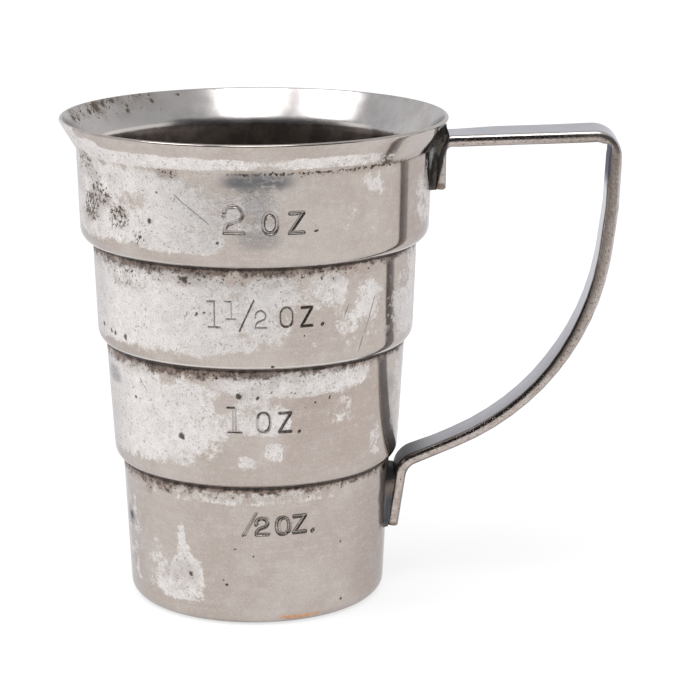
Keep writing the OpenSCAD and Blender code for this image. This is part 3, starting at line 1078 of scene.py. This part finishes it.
def sooty_solder():
    """The upper joint: flux-blackened solder with a painted reflection, a silvery run down each side."""
    f = Finish("sooty_solder")
    place = f.place()
    runs = f.noise(f.stretched(place, 1.6, 1.6, 0.35), 1.0)
    lumps = f.noise(place, 0.9)
    beside = f.field("beside") + (runs - 0.5) * 0.5
    rise = f.field("rise")
    # Painted reflection: a silvery tongue down each side of the joint
    reflected_tongue = f.ramp(beside, 0.25, 0.42) * f.ramp(beside, 0.72, 0.55)
    reflected_tongue = reflected_tongue * f.ramp(rise, 0.3, 0.42) * f.ramp(rise, 0.72, 0.6)
    flux = f.mix(f.ramp(lumps + (runs - 0.5) * 0.6, 0.42, 0.62), *BLACK_FLUX)
    colour = f.mix(reflected_tongue, flux, REFLECTED_RUN)
    return f.surface({
        "Base Color": colour,
        "Metallic": 0.75,
        "Roughness": 0.24 + (lumps - 0.5) * 0.25,
        "Normal": f.bump(lumps + runs, 0.12),
    })


def grey_solder():
    """The lower joint: smooth matt solder, with painted shade making it black in the throat under the bend.
    """
    f = Finish("grey_solder")
    place = f.place()
    runs = f.noise(f.stretched(place, 1.2, 1.2, 0.3), 1.0, 3.0, 0.5)
    lumps = f.noise(place, 0.8)
    level = f.field("rise") + (lumps - 0.5) * 0.25
    # Painted shade: the top of the joint turns black where the throat under the bend is shadowed
    black = f.ramp(level, 0.87, 0.94)
    colour = f.mix(f.ramp(runs, 0.35, 0.65), *GREY_SOLDER)
    colour = f.mix(f.ramp(level, 0.48, 0.74), colour, TAN)
    colour = f.mix(f.ramp(level, 0.78, 0.86), colour, UMBER)
    colour = f.mix(black, colour, SHADE_BLACK)
    return f.surface({
        "Base Color": colour,
        "Metallic": 0.85 - black * 0.8,
        "Roughness": 0.3 + (lumps - 0.5) * 0.2 + black * 0.4,
        "Normal": f.bump(lumps, 0.03),
    })


# Setting up the studio

def add_camera():
    yaw = math.radians(CAMERA_YAW)
    pitch = math.radians(CAMERA_PITCH)
    ahead = Vector((math.sin(yaw) * math.cos(pitch), math.cos(yaw) * math.cos(pitch), -math.sin(pitch)))
    right = Vector((math.cos(yaw), -math.sin(yaw), 0))
    up = right.cross(ahead)
    roll = math.radians(CAMERA_ROLL)
    right, up = right * math.cos(roll) + up * math.sin(roll), up * math.cos(roll) - right * math.sin(roll)
    camera = add_object("camera", bpy.data.cameras.new("camera"))
    camera.data.lens = CAMERA_LENS
    camera.data.sensor_width = CAMERA_SENSOR
    camera.data.clip_start = 0.01
    turn = Matrix((right, up, -ahead)).transposed().to_4x4()
    camera.matrix_world = Matrix.Translation(Vector(CAMERA_AT) * MM) @ turn
    bpy.context.scene.camera = camera


def towards(azimuth, elevation):
    """A direction from the object: azimuth 0 is the photographer's side, 90 the handle's."""
    a = math.radians(azimuth)
    e = math.radians(elevation)
    return Vector((math.sin(a) * math.cos(e), -math.cos(a) * math.cos(e), math.sin(e)))


def add_softbox(name, azimuth, elevation, distance, size, brightness):
    """A round soft lamp that looks at the middle of the cup; brightness is how white it looks."""
    lamp = bpy.data.lights.new(name, "AREA")
    lamp.shape = "DISK"
    lamp.size = size
    lamp.energy = brightness * math.pi * math.pi * (size / 2) ** 2
    softbox = add_object(name, lamp)
    middle = Vector((0, 0, LIP_Z / 2 * MM))
    direction = towards(azimuth, elevation)
    softbox.location = middle + direction * distance
    softbox.rotation_euler = direction.to_track_quat("Z", "Y").to_euler()


def add_sheet(name, material, vertices, faces):
    """A plain sheet of the studio, which isn't part of the object."""
    sheet = add_mesh(name, vertices, faces, material)
    return sheet


def add_level_sheet(name, material, half, near, far, height):
    corners = [(-half, near, height), (half, near, height), (half, far, height), (-half, far, height)]
    return add_sheet(name, material, corners, [(0, 1, 2, 3)])


# The rays for which the floor is white paper; for the rest it only returns the light that falls on it
FLOOR_RAYS = ("Is Camera Ray", "Is Glossy Ray", "Is Transmission Ray")
FLOOR_GLOW = 0.74


def add_floor():
    f = Finish("pale_floor")
    paper = f.mix(f.noise(f.place(), 40.0, 2.0), *FLOOR_PAPER)
    diffuse = f.node("BsdfDiffuse", {"Color": paper})
    glow = f.node("Emission", {"Color": (1, 1, 1, 1), "Strength": FLOOR_GLOW})
    lit = f.node("AddShader", {0: diffuse, 1: glow})
    seen = any_of(f.node("LightPath", output=ray) for ray in FLOOR_RAYS)
    shader = f.node("MixShader", {0: seen, 1: diffuse, 2: lit})
    f.node("OutputMaterial", {"Surface": shader})
    half = 3.0
    add_level_sheet("floor", f.owner, half, -half, half, -0.02 * MM)


def add_dark_cards():
    """Dark cards behind the camera and on the floor before it, which draw dark lines along rounded edges."""
    f = Finish("dark_card")
    f.surface({"Base Color": (0.018, 0.019, 0.024, 1), "Roughness": 0.9})
    # Metres, and degrees to each side
    distance = 0.8
    low = 0.03
    high = 0.76
    spread = 66
    count = 24
    vertices = []
    for k in range(count + 1):
        a = math.radians(-spread + 2 * spread * k / count)
        vertices += [(distance * math.sin(a), -distance * math.cos(a), z) for z in (low, high)]
    faces = [(2 * k, 2 * k + 2, 2 * k + 3, 2 * k + 1) for k in range(count)]
    add_sheet("dark_card", f.owner, vertices, faces).visible_camera = False
    floor_card = add_level_sheet("floor_card", f.owner, half=0.5, near=-distance, far=-0.3, height=MM)
    floor_card.visible_camera = False
    floor_card.visible_diffuse = False
    floor_card.visible_shadow = False


def add_sky():
    """Soft light from all round, dimmer overhead and towards the handle's side."""
    f = Finish("studio", world=True)
    direction = f.node("TexCoord", output="Generated")
    overhead = f.ramp(f.part(direction, "Z"), 0.15, 0.85)
    handle_side = f.ramp(f.part(direction, "X"), -1.0, 1.0)
    behind = f.ramp(f.part(direction, "Y"), 0.1, 0.7)
    light = f.mix(handle_side, *SKY_SIDES)
    light = f.mix(behind, light, SKY_BEHIND)
    light = f.mix(overhead, light, SKY_TOP)
    sky = f.node("Background", {"Color": light, "Strength": 1.0})
    f.node("OutputWorld", {"Surface": sky})
    bpy.context.scene.world = f.owner


def add_studio():
    bpy.context.scene.view_settings.view_transform = "Standard"
    add_sky()
    add_floor()
    add_dark_cards()
    add_softbox("front_softbox", azimuth=5, elevation=62, distance=1.0, size=0.58, brightness=4.0)
    add_softbox("left_softbox", azimuth=-67, elevation=54, distance=1.0, size=0.5, brightness=4.6)


# The levels of the two joints, lowest first
UPPER_LEVELS = (
    (53.1, 22.95, 0.5), (53.9, 23, 1.7), (56.5, 23.15, 2.4), (58.3, 23.7, 2.8), (59.6, 24.4, 2.4),
    (60.1, 24.5, 1.6), (60.8, 24.2, 1), (61.4, 24.1, 0.5),
)
LOWER_LEVELS = (
    (8.75, 17.05, 0.9), (9.6, 17.2, 1.2), (13.5, 17.8, 1.3), (15, 18, 1.1), (15.6, 18.1, 0.9),
    (15.9, 17.8, 0.7),
)

add_camera()
add_studio()
make_cup(worn_plate())
make_handle(strap_plate())
make_solder("upper_joint", sooty_solder(), "upper_solder", UPPER_LEVELS, seed=7)
make_solder("lower_joint", grey_solder(), "lower_solder", LOWER_LEVELS, seed=3)
